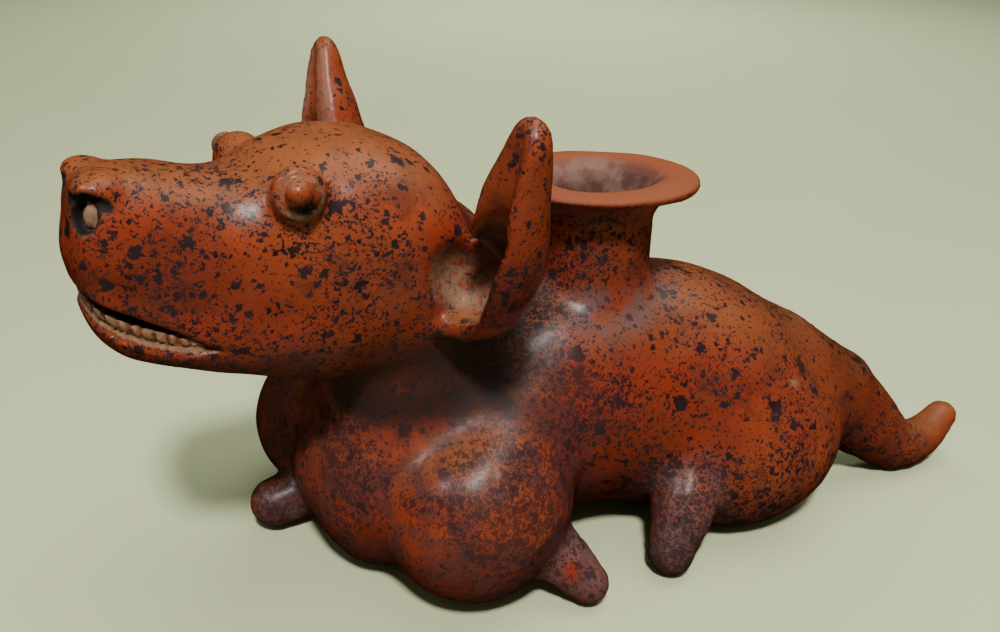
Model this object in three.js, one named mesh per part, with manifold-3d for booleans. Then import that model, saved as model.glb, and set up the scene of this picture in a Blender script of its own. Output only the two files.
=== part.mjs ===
// A hollow red-slipped clay vessel in the form of a reclining dog, with a flared spout on its back.
// The figure is one fired piece. Its form is a smooth union of rounded masses (trunk, legs, neck,
// head, tail), worked out from a few outlines and joints; ears, spout and teeth are lofted and turned.
// Units are millimetres. +X runs from nose to tail, +Z is up, and the dog's left side faces -Y.
// The origin is the middle of the footprint box, on the surface that the dog lies on.
import * as THREE from "three";
import { mergeVertices } from "three/addons/utils/BufferGeometryUtils.js";
import Module from "manifold-3d";

// Driving sizes
const FIGURE_LENGTH = 410; // nose to tail tip
const WALL = 7; // clay wall of the trunk, neck and head
const SPOUT_RIM_RADIUS = 40;
const SPOUT_NECK_RADIUS = 24;
const SPOUT_WALL = 6;
const SPOUT_RIM_THICKNESS = 3.6;
const SPOUT_HEIGHT = 161; // rim above the ground
const SPOUT_FLARE = 17; // height over which the neck opens to the rim
const EAR_WALL = 6;
const TOOTH_COUNT = 9; // blocks along each side of the lower jaw
const TOOTH_HEIGHT = 4.2;
const MOUTH_GAPE = 8; // opening between the lips at the front
const MOUTH_DEPTH = 9; // how far the gap between the lips goes in
const NOSTRIL_RADIUS = 4.2;
const EYE_RADIUS = 5; // clay pellet of each eye

// The figure's outlines and joints are shares of its length: they are drawn for a dog of this length.
const DRAWN_LENGTH = 410;
const SHARE = FIGURE_LENGTH / DRAWN_LENGTH;

// Trunk, seen from the side [x, z] and from above [x, half width]. x is 0 at the front of the chest.
const TRUNK_FRONT = -5;
const TRUNK_BACK = 264;
const TRUNK_TOP = [
  [-10, 62], [10, 76], [40, 90], [70, 106], [100, 116], [130, 120],
  [158, 118], [181, 113], [205, 102], [225, 88], [250, 67], [270, 48],
];
const TRUNK_BOTTOM = [
  [-10, 16], [18, -3], [60, -4], [95, 0], [125, 7], [152, 0], [185, -4], [240, -4], [270, 14],
];
const TRUNK_HALF_WIDTH = [
  [-10, 34], [20, 46], [60, 50], [100, 47], [150, 49], [190, 55], [220, 50], [250, 33], [270, 20],
];
const TRUNK_SQUARENESS = 2.1; // 2 is an oval section, more is squarer

// Head, in a frame that is turned about the neck; the same three outlines, and the lower jaw's
const NECK_AXIS = [52, 0];
const HEAD_TURN = THREE.MathUtils.degToRad(14.3); // towards the dog's left
const HEAD_FRONT = -73;
const HEAD_BACK = 69;
const HEAD_TOP = [
  [-76, 180.5], [-68, 184.5], [-50, 183.5], [-32, 180.5], [-20, 184], [-4, 188],
  [16, 188], [34, 184], [50, 172], [64, 150], [78, 118],
];
const HEAD_BOTTOM = [[-76, 141], [-68, 135], [-40, 120], [-20, 110], [0, 102], [30, 98], [78, 98]];
const HEAD_HALF_WIDTH = [
  [-76, 19], [-60, 22], [-30, 27], [-5, 35], [20, 42], [45, 43], [64, 34], [78, 20],
];
const HEAD_SQUARENESS = 2.6;
const JAW_FRONT = -72;
const JAW_BACK = 12;
const JAW_TOP = [[-79, 150], [-40, 134], [0, 128]];
const JAW_BOTTOM = [[-79, 131], [-70, 123], [-50, 114], [-20, 104], [5, 98]];
const JAW_HALF_WIDTH = [[-79, 17], [-50, 21], [-20, 26], [5, 30]];
const JAW_SQUARENESS = 2.4;
const MOUTH_CORNER = -38; // x where the lips meet
const LIP_LINE = [[-76, 146], [-62, 136], [-50, 129], [-38, 124]]; // height of the lips' middle line
const EYE = [-7, 30.5, 173.5]; // middle of the eye mound
const EYE_MOUND = [11, 9, 10.5];
const PELLET = [-10, 37, 174];
const NOSTRIL = [-68.5, 13, 171];
const NOSE_WING = [-65, 11, 175.5];
const NOSE_WING_SIZE = [7, 7.5, 6];

// Rods are chains of round joints [x, y, z, radius]. The near side is the dog's left.
const NECK = [[56, 0, 40, 44], [52, 0, 88, 41], [47, 0, 124, 36]];
const TAIL_ROOT = [[228, -3, 56, 27], [259, -9, 44, 22], [278, -15, 27, 17]];
const TAIL = [
  [248, -6, 46, 18], [263, -10, 39, 19], [279, -15, 25, 17.5], [294, -20, 14, 13.5],
  [308, -20, 11.5, 11.5], [320, -17, 14, 10], [330, -14, 20, 8],
];
const NEAR_KNEE = [64, -45, 36];
const NEAR_KNEE_SIZE = [37, 33, 37];
const NEAR_UPPER_ARM = [[84, -34, 72, 20], [76, -42, 48, 24]];
const NEAR_FORE_PAW = [[82, -46, 30, 14], [94, -57, 20, 12.5], [106, -69, 9.5, 8.5]];
const FAR_KNEE = [18, 40, 38];
const FAR_KNEE_SIZE = [34, 32, 36];
const FAR_UPPER_ARM = [[56, 36, 70, 22], [36, 40, 48, 26]];
const FAR_FORE_PAW = [[18, 22, 20, 12], [4, 19, 15, 12.5], [-11, 16, 12, 11.5]];
const HAUNCH = [196, 32, 36];
const HAUNCH_SIZE = [47, 31, 38];
const HIND_PAW = [[166, 40, 40, 14], [158, 50, 28, 14.5], [147, 62, 10, 10]];
const EAR = [
  [51, 48, 126, 11], [50, 54, 140, 18], [50, 62, 158, 16.5], [49, 71, 180, 9.8], [48, 80, 202, 5],
];
const FAR_EAR_LEAN = 4; // how much further forward the far ear is set
const EAR_LIP = 2.2; // how far the ear's edges reach forward, against a round section
const EAR_HOLLOW = [[0, 0.3], [0.18, 1], [0.45, 0.85], [0.7, 0.45], [1, 0.1]]; // depth from root to tip
const EAR_OPENING = THREE.MathUtils.degToRad(62); // from outward to forward
const SPOUT_AXIS = [128, 0];

// How softly neighbouring masses run into each other
const BLEND = { limb: 20, leg: 14, trunk: 8, neck: 8, head: 14, jaw: 12, tail: 16, eye: 6 };

// The soft masses are meshed on a grid. Its cells are finer ahead of and above these two places,
// round the head, and it stands clear of the masses by its margin.
const GRID_MARGIN = 12;
const FINE_UNTIL_X = 88;
const FINE_ABOVE_Z = 96;
const CELL = { headX: 8.2, bodyX: 13.5, y: 9.4, bodyZ: 12, headZ: 8.1, hollow: 16 };

// Smooth curve through the points [x, y] of an outline, level beyond its ends
function outline(points) {
  const last = points.length - 1;
  const slope = points.map((_, i) => {
    const a = points[Math.max(i - 1, 0)];
    const b = points[Math.min(i + 1, last)];
    return (b[1] - a[1]) / (b[0] - a[0]);
  });
  return (x) => {
    const at = Math.min(Math.max(x, points[0][0]), points[last][0]);
    let i = 0;
    while (i < last - 1 && at >= points[i + 1][0]) i += 1;
    const width = points[i + 1][0] - points[i][0];
    const t = (at - points[i][0]) / width;
    const rise = t * t * (3 - 2 * t);
    const enter = t * (1 - t) * (1 - t) * width * slope[i];
    const leave = t * t * (t - 1) * width * slope[i + 1];
    return points[i][1] * (1 - rise) + points[i + 1][1] * rise + enter + leave;
  };
}

// Fields give about the distance from a point to a surface, negative inside.
function smoothMin(a, b, reach) {
  const h = Math.max(reach - Math.abs(a - b), 0) / reach;
  return Math.min(a, b) - (h * h * reach) / 4;
}

function smoothMax(a, b, reach) {
  return -smoothMin(-a, -b, reach);
}

function ellipsoid([x, y, z], middle, size) {
  const q = [x - middle[0], y - middle[1], z - middle[2]];
  const near = Math.hypot(q[0] / size[0], q[1] / size[1], q[2] / size[2]);
  const far = Math.hypot(q[0] / size[0] ** 2, q[1] / size[1] ** 2, q[2] / size[2] ** 2);
  return (near * (near - 1)) / Math.max(far, 1e-6);
}

function rod(p, from, to) {
  const along = [0, 1, 2].map((i) => to[i] - from[i]);
  const reach = along[0] ** 2 + along[1] ** 2 + along[2] ** 2;
  const dot = [0, 1, 2].reduce((sum, i) => sum + (p[i] - from[i]) * along[i], 0);
  const t = Math.min(Math.max(dot / reach, 0), 1);
  const gap = Math.hypot(...[0, 1, 2].map((i) => p[i] - from[i] - t * along[i]));
  return gap - (from[3] + (to[3] - from[3]) * t);
}

function rods(p, joints) {
  let best = Infinity;
  for (let i = 0; i + 1 < joints.length; i += 1) best = Math.min(best, rod(p, joints[i], joints[i + 1]));
  return best;
}

// A long mass whose section at each x lies between a top and a bottom outline
function hull(shape) {
  const top = outline(shape.top);
  const bottom = outline(shape.bottom);
  const side = outline(shape.side);
  return (p) => {
    const halfWidth = side(p[0]);
    const middle = (top(p[0]) + bottom(p[0])) / 2;
    const halfHeight = (top(p[0]) - bottom(p[0])) / 2;
    const n = shape.squareness;
    const reach = (Math.abs(p[1]) / halfWidth) ** n + (Math.abs(p[2] - middle) / halfHeight) ** n;
    let d = (reach ** (1 / n) - 1) * Math.min(halfWidth, halfHeight);
    d = smoothMax(d, shape.front - p[0], shape.frontRound);
    return smoothMax(d, p[0] - shape.back, shape.backRound);
  };
}

const trunk = hull({
  top: TRUNK_TOP,
  bottom: TRUNK_BOTTOM,
  side: TRUNK_HALF_WIDTH,
  squareness: TRUNK_SQUARENESS,
  front: TRUNK_FRONT,
  back: TRUNK_BACK,
  frontRound: 44,
  backRound: 24,
});
const skull = hull({
  top: HEAD_TOP,
  bottom: HEAD_BOTTOM,
  side: HEAD_HALF_WIDTH,
  squareness: HEAD_SQUARENESS,
  front: HEAD_FRONT,
  back: HEAD_BACK,
  frontRound: 11,
  backRound: 26,
});
const jaw = hull({
  top: JAW_TOP,
  bottom: JAW_BOTTOM,
  side: JAW_HALF_WIDTH,
  squareness: JAW_SQUARENESS,
  front: JAW_FRONT,
  back: JAW_BACK,
  frontRound: 11,
  backRound: 20,
});

const mirrored = (joints) => joints.map(([x, y, ...rest]) => [x, -y, ...rest]);

function foreleg(p, knee, size, upper) {
  return smoothMin(ellipsoid(p, knee, size), rods(p, upper), BLEND.limb);
}

function legs(p) {
  const nearFore = foreleg(p, NEAR_KNEE, NEAR_KNEE_SIZE, NEAR_UPPER_ARM);
  const farFore = foreleg(p, FAR_KNEE, FAR_KNEE_SIZE, FAR_UPPER_ARM);
  const hind = ellipsoid([p[0], Math.abs(p[1]), p[2]], HAUNCH, HAUNCH_SIZE);
  return smoothMin(smoothMin(nearFore, farFore, BLEND.leg), hind, BLEND.leg);
}

// The head is modelled straight and turned about the neck.
function inHead([x, y, z]) {
  const dx = x - NECK_AXIS[0];
  const dy = y - NECK_AXIS[1];
  const c = Math.cos(HEAD_TURN);
  const s = Math.sin(HEAD_TURN);
  return [dx * c + dy * s + NECK_AXIS[0], dy * c - dx * s, z];
}

function head(p) {
  const q = inHead(p);
  q[1] = Math.abs(q[1]);
  let d = smoothMin(skull(q), jaw(q), BLEND.jaw);
  d = smoothMin(d, ellipsoid(q, EYE, EYE_MOUND), BLEND.eye);
  return smoothMin(d, ellipsoid(q, NOSE_WING, NOSE_WING_SIZE), BLEND.eye);
}

function figure(p) {
  let d = smoothMin(trunk(p), legs(p), BLEND.trunk);
  d = smoothMin(d, rods(p, NECK), BLEND.neck);
  d = smoothMin(d, head(p), BLEND.head);
  return smoothMin(d, rods(p, TAIL_ROOT), BLEND.tail);
}

// The hollow follows the thick masses only, so the paws, ears, jaw and tail's end are solid clay.
function hollow(p) {
  let d = smoothMin(trunk(p), rods(p, NECK), BLEND.neck);
  const knees = Math.min(
    ellipsoid(p, NEAR_KNEE, NEAR_KNEE_SIZE),
    ellipsoid(p, FAR_KNEE, FAR_KNEE_SIZE),
    ellipsoid([p[0], Math.abs(p[1]), p[2]], HAUNCH, HAUNCH_SIZE),
  );
  d = smoothMin(d, knees, BLEND.trunk);
  d = smoothMin(d, skull(inHead(p)), BLEND.head);
  const floor = WALL / SHARE - p[2];
  return Math.max(d + WALL / SHARE, floor);
}

// Grid lines from stretches [from, to, step], the steps evened out over each stretch
function gridLines(stretches) {
  const lines = [stretches[0][0]];
  for (const [from, to, step] of stretches) {
    const count = Math.round((to - from) / step);
    for (let i = 1; i <= count; i += 1) lines.push(from + ((to - from) * i) / count);
  }
  return lines;
}

// Moves a point along the field's slope until it lies on the surface, or on the side of its cell
function settle(field, point, low, high) {
  const step = 0.05;
  let p = [...point];
  for (let round = 0; round < 5; round += 1) {
    const value = field(p);
    const slope = [0, 1, 2].map((i) => {
      const ahead = [...p];
      const behind = [...p];
      ahead[i] += step;
      behind[i] -= step;
      return (field(ahead) - field(behind)) / (2 * step);
    });
    const steep = Math.max(slope[0] ** 2 + slope[1] ** 2 + slope[2] ** 2, 0.05);
    p = p.map((v, i) => {
      const margin = (high[i] - low[i]) * 0.06;
      return Math.min(Math.max(v - (value * slope[i]) / steep, low[i] + margin), high[i] - margin);
    });
  }
  return p;
}

// Where the four corners of a grid face are inside and outside by turns, two sheets of the mesh
// would share an edge, so the outside corner that is nearest to the surface is taken in.
function joinCheckers(values, size, index) {
  let found = true;
  while (found) {
    found = false;
    for (let i = 0; i < size[0] - 1; i += 1) {
      for (let j = 0; j < size[1] - 1; j += 1) {
        for (let k = 0; k < size[2] - 1; k += 1) {
          for (const [u, v] of [[[1, 0, 0], [0, 1, 0]], [[0, 1, 0], [0, 0, 1]], [[0, 0, 1], [1, 0, 0]]]) {
            const corners = [
              index(i, j, k),
              index(i + u[0], j + u[1], k + u[2]),
              index(i + u[0] + v[0], j + u[1] + v[1], k + u[2] + v[2]),
              index(i + v[0], j + v[1], k + v[2]),
            ];
            const inside = corners.map((c) => values[c] < 0);
            if (inside[0] !== inside[2] || inside[1] !== inside[3] || inside[0] === inside[1]) continue;
            const outside = corners.filter((c) => values[c] >= 0);
            const nearest = values[outside[0]] < values[outside[1]] ? outside[0] : outside[1];
            values[nearest] = -1e-3;
            found = true;
          }
        }
      }
    }
  }
}

// Closed mesh of a field: one vertex in each grid cell that the surface crosses, and one
// four-sided face around each grid edge that it crosses, split along its shorter diagonal
function meshOfField(field, xs, ys, zs) {
  const size = [xs.length, ys.length, zs.length];
  const lines = [xs, ys, zs];
  const index = (i, j, k) => (i * size[1] + j) * size[2] + k;
  const values = new Float64Array(size[0] * size[1] * size[2]);
  for (let i = 0; i < size[0]; i += 1)
    for (let j = 0; j < size[1]; j += 1)
      for (let k = 0; k < size[2]; k += 1) values[index(i, j, k)] = field([xs[i], ys[j], zs[k]]);
  joinCheckers(values, size, index);
  const positions = [];
  const vertexOf = new Map();
  const cellVertex = (i, j, k) => {
    const key = index(i, j, k);
    if (vertexOf.has(key)) return vertexOf.get(key);
    const sum = [0, 0, 0];
    let crossings = 0;
    for (let axis = 0; axis < 3; axis += 1) {
      for (let a = 0; a < 2; a += 1) {
        for (let b = 0; b < 2; b += 1) {
          const from = [i, j, k];
          from[(axis + 1) % 3] += a;
          from[(axis + 2) % 3] += b;
          const to = [...from];
          to[axis] += 1;
          const v0 = values[index(...from)];
          const v1 = values[index(...to)];
          if (v0 < 0 === v1 < 0) continue;
          const t = v0 / (v0 - v1);
          for (let c = 0; c < 3; c += 1)
            sum[c] += lines[c][from[c]] * (1 - t) + lines[c][to[c]] * t;
          crossings += 1;
        }
      }
    }
    const middle = sum.map((v) => v / crossings);
    const low = [xs[i], ys[j], zs[k]];
    const high = [xs[i + 1], ys[j + 1], zs[k + 1]];
    positions.push(...settle(field, middle, low, high));
    vertexOf.set(key, positions.length / 3 - 1);
    return vertexOf.get(key);
  };
  const apart = (a, b) => Math.hypot(...[0, 1, 2].map((c) => positions[a * 3 + c] - positions[b * 3 + c]));
  const triangles = [];
  for (let axis = 0; axis < 3; axis += 1) {
    const u = (axis + 1) % 3;
    const v = (axis + 2) % 3;
    const start = [0, 0, 0];
    start[u] = 1;
    start[v] = 1;
    for (let i = start[0]; i < size[0] - 1; i += 1) {
      for (let j = start[1]; j < size[1] - 1; j += 1) {
        for (let k = start[2]; k < size[2] - 1; k += 1) {
          const from = [i, j, k];
          const to = [...from];
          to[axis] += 1;
          const inside = values[index(...from)] < 0;
          if (inside === values[index(...to)] < 0) continue;
          const ring = [[0, 0], [-1, 0], [-1, -1], [0, -1]].map(([du, dv]) => {
            const cell = [...from];
            cell[u] += du;
            cell[v] += dv;
            return cellVertex(...cell);
          });
          if (!inside) ring.reverse();
          const [a, b, c, d] = ring;
          if (apart(a, c) < apart(b, d)) triangles.push(a, b, c, a, c, d);
          else triangles.push(a, b, d, b, c, d);
        }
      }
    }
  }
  const geometry = new THREE.BufferGeometry();
  geometry.setAttribute("position", new THREE.Float32BufferAttribute(positions, 3));
  geometry.setIndex(triangles);
  return geometry;
}

// Closed mesh through rings of points, each ring with the same count, and a point at each end
function loft(rings, firstPoint, lastPoint) {
  const count = rings[0].length;
  const positions = [...firstPoint, ...rings.flat(2), ...lastPoint];
  const last = rings.length * count + 1;
  const triangles = [];
  const at = (ring, i) => 1 + ring * count + (i % count);
  for (let i = 0; i < count; i += 1) {
    triangles.push(0, at(0, i + 1), at(0, i));
    triangles.push(last, at(rings.length - 1, i), at(rings.length - 1, i + 1));
    for (let r = 0; r + 1 < rings.length; r += 1) {
      triangles.push(at(r, i), at(r, i + 1), at(r + 1, i + 1));
      triangles.push(at(r, i), at(r + 1, i + 1), at(r + 1, i));
    }
  }
  const geometry = new THREE.BufferGeometry();
  geometry.setAttribute("position", new THREE.Float32BufferAttribute(positions, 3));
  geometry.setIndex(triangles);
  return geometry;
}

const wasm = await Module();
wasm.setup();

function solidOf(geometry, scale = 1) {
  const bare = geometry.clone();
  bare.deleteAttribute("normal");
  bare.deleteAttribute("uv");
  bare.scale(scale, scale, scale);
  const merged = mergeVertices(bare, 1e-4);
  const mesh = new wasm.Mesh({
    numProp: 3,
    vertProperties: new Float32Array(merged.attributes.position.array),
    triVerts: new Uint32Array(merged.index.array),
  });
  const solid = new wasm.Manifold(mesh);
  if (solid.volume() > 0) return solid;
  for (let i = 0; i < mesh.triVerts.length; i += 3) {
    const first = mesh.triVerts[i];
    mesh.triVerts[i] = mesh.triVerts[i + 1];
    mesh.triVerts[i + 1] = first;
  }
  return new wasm.Manifold(mesh);
}

// Places a geometry that is drawn in the straight head's frame
function turnWithHead(geometry) {
  geometry.translate(-NECK_AXIS[0], -NECK_AXIS[1], 0);
  geometry.rotateZ(HEAD_TURN);
  return geometry.translate(NECK_AXIS[0], NECK_AXIS[1], 0);
}

// A tapering limb round a chain of joints, with a rounded end
function limb(joints, sides) {
  const path = new THREE.CatmullRomCurve3(joints.map(([x, y, z]) => new THREE.Vector3(x, y, z)));
  const radius = outline(joints.map((joint, i) => [i / (joints.length - 1), joint[3]]));
  const steps = (joints.length - 1) * 2;
  const stations = [];
  for (let i = 0; i <= steps; i += 1) stations.push([i / steps, 0, 1]);
  for (const angle of [30, 58, 80]) {
    const a = THREE.MathUtils.degToRad(angle);
    stations.push([1, Math.sin(a), Math.cos(a)]);
  }
  const rings = stations.map(([t, beyond, share]) => {
    const along = path.getTangent(t).normalize();
    const middle = path.getPoint(t).addScaledVector(along, beyond * radius(t));
    const across = new THREE.Vector3(-along.y, along.x, 0).normalize();
    const up = new THREE.Vector3().crossVectors(along, across);
    return Array.from({ length: sides }, (_, k) => {
      const angle = (2 * Math.PI * k) / sides;
      const p = middle.clone();
      p.addScaledVector(across, Math.cos(angle) * radius(t) * share);
      p.addScaledVector(up, Math.sin(angle) * radius(t) * share);
      return [p.x, p.y, p.z];
    });
  });
  const tip = path.getPoint(1).addScaledVector(path.getTangent(1).normalize(), radius(1));
  return solidOf(loft(rings, joints[0].slice(0, 3), [tip.x, tip.y, tip.z]), SHARE);
}

// A cupped ear: rings that run round the back of the ear, over one rim, through the hollow
// and back over the other rim
function ear(side) {
  const steps = 10;
  const forward = side > 0 ? FAR_EAR_LEAN : 0;
  const joints = EAR.map(([x, y, z, r], i) => {
    const lean = forward * (1 - i / (EAR.length - 1));
    return new THREE.Vector4(x - lean, y * side, z, r);
  });
  const axis = new THREE.CatmullRomCurve3(joints.map((j) => new THREE.Vector3(j.x, j.y, j.z)));
  const radius = outline(EAR.map((joint, i) => [i / (EAR.length - 1), joint[3]]));
  const hollowness = outline(EAR_HOLLOW);
  const wallThickness = EAR_WALL / SHARE;
  const rings = [];
  for (let s = 0; s <= steps; s += 1) {
    const t = s / steps;
    const middle = axis.getPoint(t);
    const along = axis.getTangent(t).normalize();
    const facing = new THREE.Vector3(-Math.sin(EAR_OPENING), side * Math.cos(EAR_OPENING), 0);
    facing.addScaledVector(along, -facing.dot(along)).normalize();
    const across = new THREE.Vector3().crossVectors(along, facing).multiplyScalar(side);
    const outer = radius(t);
    const inner = Math.max(outer - wallThickness, 1) * hollowness(t);
    const lip = (outer + inner) / 2;
    const shallow = (outer - inner - wallThickness) * 0.9;
    const points = [];
    const put = (angle, r, forward = 0) => {
      const p = middle.clone().addScaledVector(facing, Math.max(forward, 0));
      const forwards = -Math.cos(angle) * r;
      p.addScaledVector(facing, forwards > 0 ? forwards * EAR_LIP : forwards);
      p.addScaledVector(across, Math.sin(angle) * r);
      points.push([p.x, p.y, p.z]);
    };
    const open = THREE.MathUtils.degToRad(112);
    const outerCount = 8;
    const innerCount = 4;
    for (let i = 0; i < outerCount; i += 1) put(-open + (2 * open * i) / (outerCount - 1), outer);
    const lipAngle = open + Math.min((outer - inner) / (2.2 * lip), 0.45);
    put(lipAngle, lip, shallow / 2);
    for (let i = 0; i < innerCount; i += 1) put(open - (2 * open * i) / (innerCount - 1), inner, shallow);
    put(-lipAngle, lip, shallow / 2);
    rings.push(points);
  }
  const end = (t, reach) => {
    const along = axis.getTangent(t).normalize();
    const p = axis.getPoint(t).addScaledVector(along, reach * radius(t));
    return [p.x, p.y, p.z];
  };
  return solidOf(turnWithHead(loft(rings, end(0, -0.7), end(1, 0.8))), SHARE);
}

// The path along the lips, from the corner of the mouth round the front to the other corner:
// t runs from -1 to 1, and the result gives the point, the way out and the height of the gap
function lipLine(t) {
  const headSide = outline(HEAD_HALF_WIDTH);
  const jawSide = outline(JAW_HALF_WIDTH);
  const share = Math.abs(t);
  const sweep = Math.sin((share * Math.PI) / 2);
  const x = JAW_FRONT + 3 + (MOUTH_CORNER - JAW_FRONT - 3) * (1 - Math.cos((share * Math.PI) / 2));
  const y = Math.sign(t) * sweep * (headSide(x) * 0.4 + jawSide(x) * 0.6 - 0.5);
  const z = outline(LIP_LINE)(x);
  const out = new THREE.Vector3(-(1 - sweep) - 0.12, Math.sign(t) * sweep, 0).normalize();
  const gap = 1 + MOUTH_GAPE * (1 - share ** 3) * (0.6 + 1.6 * share * (1 - share));
  return { x, y, z, out, gap };
}

// A band along the lip line; each station gives its section as [reach outward, height] points
function lipBand(stations, section) {
  const rings = stations.map((t) => {
    const line = lipLine(t);
    const { x, y, z, out } = line;
    return section(t, line.gap).map(([reach, rise]) => [x + out.x * reach, y + out.y * reach, z + rise]);
  });
  const middleOf = (ring) => [0, 1, 2].map((c) => ring.reduce((sum, p) => sum + p[c] / ring.length, 0));
  const ends = [middleOf(rings[0]), middleOf(rings[rings.length - 1])];
  return solidOf(turnWithHead(loft(rings, ...ends)), SHARE);
}

// The gap between the lips, which reaches in by the mouth's depth
function mouth() {
  const stations = Array.from({ length: 19 }, (_, i) => i / 9 - 1);
  const depth = MOUTH_DEPTH / SHARE;
  return lipBand(stations, (t, gap) => {
    const half = gap / 2;
    return [[9, -half], [9, half], [-depth, half * 0.7], [-depth, -half * 0.8]];
  });
}

// The row of square teeth that stands on the lower jaw, with a nick between each two
function teeth() {
  const stations = [];
  for (let i = 0; i < 2 * TOOTH_COUNT; i += 1)
    for (const share of [0.03, 0.16, 0.84, 0.97]) stations.push(((i + share) / TOOTH_COUNT - 1) * 0.9);
  return lipBand(stations, (t, gap) => {
    const place = ((t / 0.9 + 1) * TOOTH_COUNT) % 1;
    const nick = place < 0.1 || place > 0.9 ? 1 : 0;
    const floor = -gap / 2;
    const top = floor + Math.min(TOOTH_HEIGHT / SHARE, gap * 0.62) - nick * 1.1;
    return [[-1.5 - nick, floor - 2], [-1.8 - nick, top], [-6.5, top], [-7, floor - 2]];
  });
}

function ball(middle, size) {
  const geometry = new THREE.SphereGeometry(1, 10, 6);
  geometry.rotateX(Math.PI / 2);
  geometry.scale(...size);
  geometry.translate(...middle);
  return solidOf(turnWithHead(geometry), SHARE);
}

// The spout is turned about its own axis: a straight neck that opens to a broad rim.
function spoutOutline(inset) {
  const neckRadius = SPOUT_NECK_RADIUS - inset;
  const rim = SPOUT_RIM_RADIUS - inset * 0.45;
  const lowest = SPOUT_HEIGHT - SPOUT_FLARE;
  const points = [];
  const turns = 5;
  for (let i = 0; i <= turns; i += 1) {
    const angle = (i / turns) * (Math.PI / 2);
    const radius = neckRadius + (rim - neckRadius) * (1 - Math.cos(angle));
    points.push([radius, lowest + (SPOUT_FLARE - SPOUT_RIM_THICKNESS) * Math.sin(angle) ** 1.2]);
  }
  return points;
}

function turned(points) {
  const profile = points.map(([r, z]) => new THREE.Vector2(r, z));
  const geometry = new THREE.LatheGeometry(profile, 24);
  geometry.rotateX(Math.PI / 2);
  geometry.translate(SPOUT_AXIS[0] * SHARE, SPOUT_AXIS[1] * SHARE, 0);
  return solidOf(geometry);
}

function spoutBody() {
  const foot = (outline(TRUNK_TOP)(SPOUT_AXIS[0]) - WALL) * SHARE;
  const skirt = [[0, foot], [SPOUT_NECK_RADIUS + 6, foot], [SPOUT_NECK_RADIUS + 1.5, foot + 12]];
  const edge = SPOUT_RIM_THICKNESS / 2;
  const rim = [
    [SPOUT_RIM_RADIUS + edge * 0.5, SPOUT_HEIGHT - edge * 1.6],
    [SPOUT_RIM_RADIUS + edge * 0.7, SPOUT_HEIGHT - edge],
    [SPOUT_RIM_RADIUS + edge * 0.3, SPOUT_HEIGHT - edge * 0.2],
    [SPOUT_RIM_RADIUS - edge, SPOUT_HEIGHT],
  ];
  return turned([...skirt, ...spoutOutline(0), ...rim, [0, SPOUT_HEIGHT]]);
}

function spoutBore() {
  const inside = spoutOutline(SPOUT_WALL).map(([r, z]) => [r, z + SPOUT_RIM_THICKNESS]);
  const foot = (outline(TRUNK_TOP)(SPOUT_AXIS[0]) - 4 * WALL) * SHARE;
  const mouthRadius = inside[inside.length - 1][0];
  const above = SPOUT_HEIGHT + 5;
  return turned([[0, foot], [inside[0][0], foot], ...inside, [mouthRadius, above], [0, above]]);
}

// The ground that the dog lies on, as a block to cut the underside flat
function ground() {
  const depth = 60;
  const slab = new THREE.BoxGeometry(2 * FIGURE_LENGTH, FIGURE_LENGTH, depth);
  slab.translate((DRAWN_LENGTH * SHARE) / 3, 0, -depth / 2);
  return solidOf(slab);
}

function vessel() {
  const tailEnd = TAIL_ROOT[TAIL_ROOT.length - 1];
  const front = HEAD_FRONT - GRID_MARGIN;
  const back = Math.max(TRUNK_BACK, tailEnd[0] + tailEnd[3]) + GRID_MARGIN;
  const side = Math.max(HAUNCH[1] + HAUNCH_SIZE[1], NEAR_KNEE_SIZE[1] - NEAR_KNEE[1]) + GRID_MARGIN;
  const lowest = Math.min(...TRUNK_BOTTOM.map(([, z]) => z)) - GRID_MARGIN;
  const highest = Math.max(...HEAD_TOP.map(([, z]) => z)) + GRID_MARGIN;
  const outside = meshOfField(
    figure,
    gridLines([[front, FINE_UNTIL_X, CELL.headX], [FINE_UNTIL_X, back, CELL.bodyX]]),
    gridLines([[-side, side, CELL.y]]),
    gridLines([[lowest, FINE_ABOVE_Z, CELL.bodyZ], [FINE_ABOVE_Z, highest, CELL.headZ]]),
  );
  const inside = meshOfField(
    hollow,
    gridLines([[front, back, CELL.hollow]]),
    gridLines([[-side, side, CELL.hollow]]),
    gridLines([[-GRID_MARGIN / 4, highest, CELL.hollow]]),
  );
  let solid = solidOf(outside, SHARE).add(ear(1)).add(ear(-1)).add(spoutBody());
  solid = solid.add(limb(TAIL, 12));
  for (const paw of [NEAR_FORE_PAW, FAR_FORE_PAW, HIND_PAW, mirrored(HIND_PAW)])
    solid = solid.add(limb(paw, 9));
  solid = solid.subtract(mouth());
  solid = solid.add(teeth());
  for (const side of [1, -1]) {
    const onSide = ([x, y, z]) => [x, y * side, z];
    const pellet = EYE_RADIUS / SHARE;
    solid = solid.add(ball(onSide(PELLET), [pellet, pellet, pellet]));
    const pit = NOSTRIL_RADIUS / SHARE;
    solid = solid.subtract(ball(onSide(NOSTRIL), [pit * 1.5, pit * 1.2, pit]));
  }
  solid = solid.subtract(ground()).subtract(solidOf(inside, SHARE)).subtract(spoutBore());
  // Crumbs that the cuts leave behind the teeth are dropped.
  const main = solid.decompose().reduce((a, b) => (b.volume() > a.volume() ? b : a));
  return tidied(main, 0.02);
}

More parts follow.
